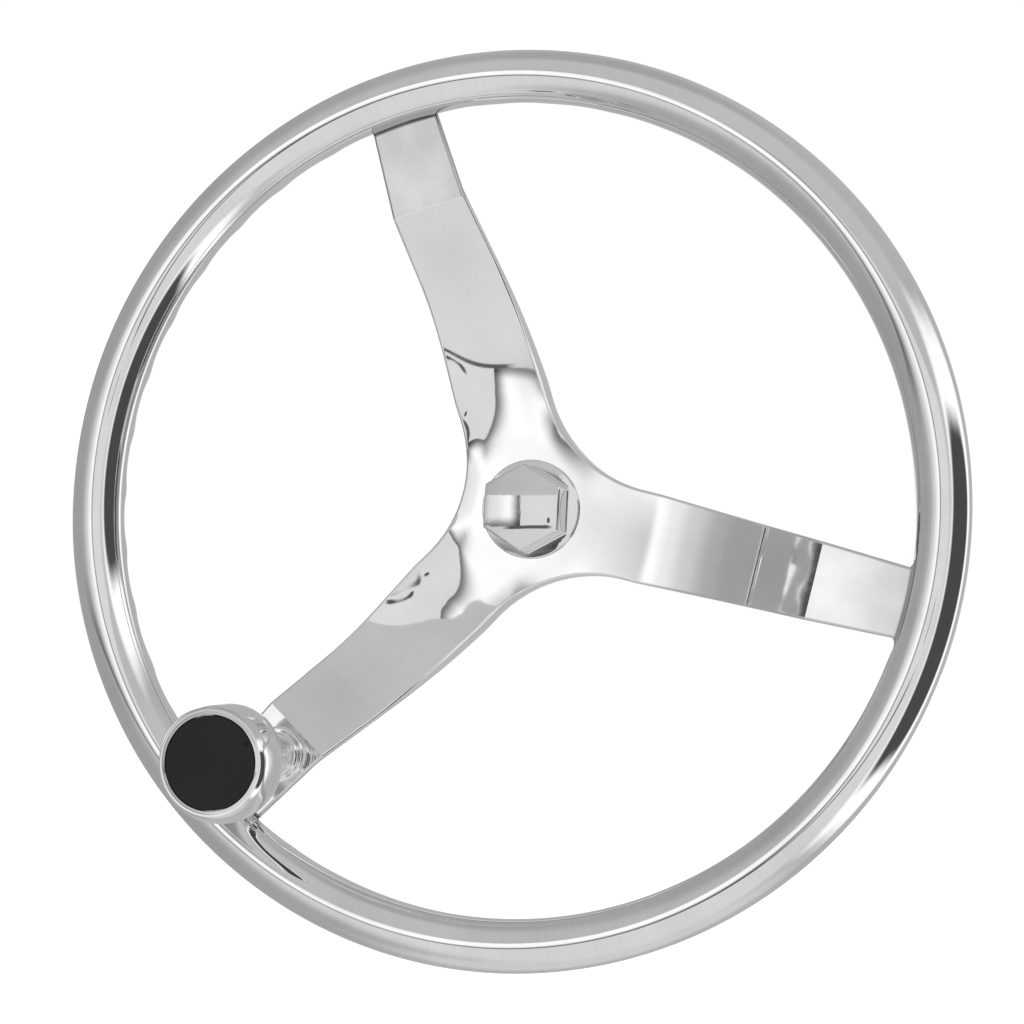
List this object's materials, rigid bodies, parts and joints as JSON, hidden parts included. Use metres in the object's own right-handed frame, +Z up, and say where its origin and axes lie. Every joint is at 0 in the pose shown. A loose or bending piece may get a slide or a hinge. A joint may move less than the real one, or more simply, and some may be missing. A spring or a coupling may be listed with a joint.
{
  "type": "boat steering wheel",
  "caption": "Stainless boat steering wheel: tubular rim with rear finger grips, dished arms, tapered hub, capped shaft nut and a turning knob.",
  "frame": {"origin": "on the wheel's axis, in the hub's rear face, where the helm's tapered shaft enters", "axes": "+Y along the wheel's axis, away from the driver and towards the helm; +Z up; +X to the driver's right"},
  "size_m": [0.3942, 0.1541, 0.3942],
  "materials": {
    "polished_steel": "mirror-polished stainless steel",
    "weld_steel": "dressed weld",
    "plain_steel": "plain stainless steel",
    "turned_steel": "turned stainless steel",
    "dark_steel": "blackened steel",
    "gasket_rubber": "matt",
    "pad_rubber": "foam adhesive pad",
    "acetal": "natural acetal",
    "core_nylon": "moulded",
    "black_insert": "satin moulded"
  },
  "bodies": {
    "wheel": {"rim_tube": "polished_steel", "rim_backing_sleeve": "plain_steel", "spider": "polished_steel", "tab_weld_top": "weld_steel", "tab_weld_left": "weld_steel", "tab_weld_right": "weld_steel", "hub_boss": "turned_steel", "hub_weld": "weld_steel", "shaft_washer": "plain_steel", "nut_core": "plain_steel", "cap_gasket": "gasket_rubber", "cap_shell": "polished_steel", "post_base": "polished_steel", "post_set_screw": "dark_steel", "post_spindle": "turned_steel", "post_washer": "plain_steel", "post_lock_washer": "plain_steel", "post_nut": "plain_steel", "thrust_washer": "acetal", "keeper_washer": "plain_steel", "keeper_screw": "plain_steel"},
    "knob": {"knob_shell": "polished_steel", "knob_core": "core_nylon", "knob_neck_ring": "polished_steel", "lower_bush": "acetal", "upper_bush": "acetal", "insert_pad": "pad_rubber", "knob_insert": "black_insert"}
  },
  "joints": [
    {"name": "knob_spin", "type": "hinge", "parent": "wheel", "child": "knob", "pos_m": [-0.1024, -0.11, -0.10743], "axis": [0, -1, 0], "continuous": true}
  ]
}
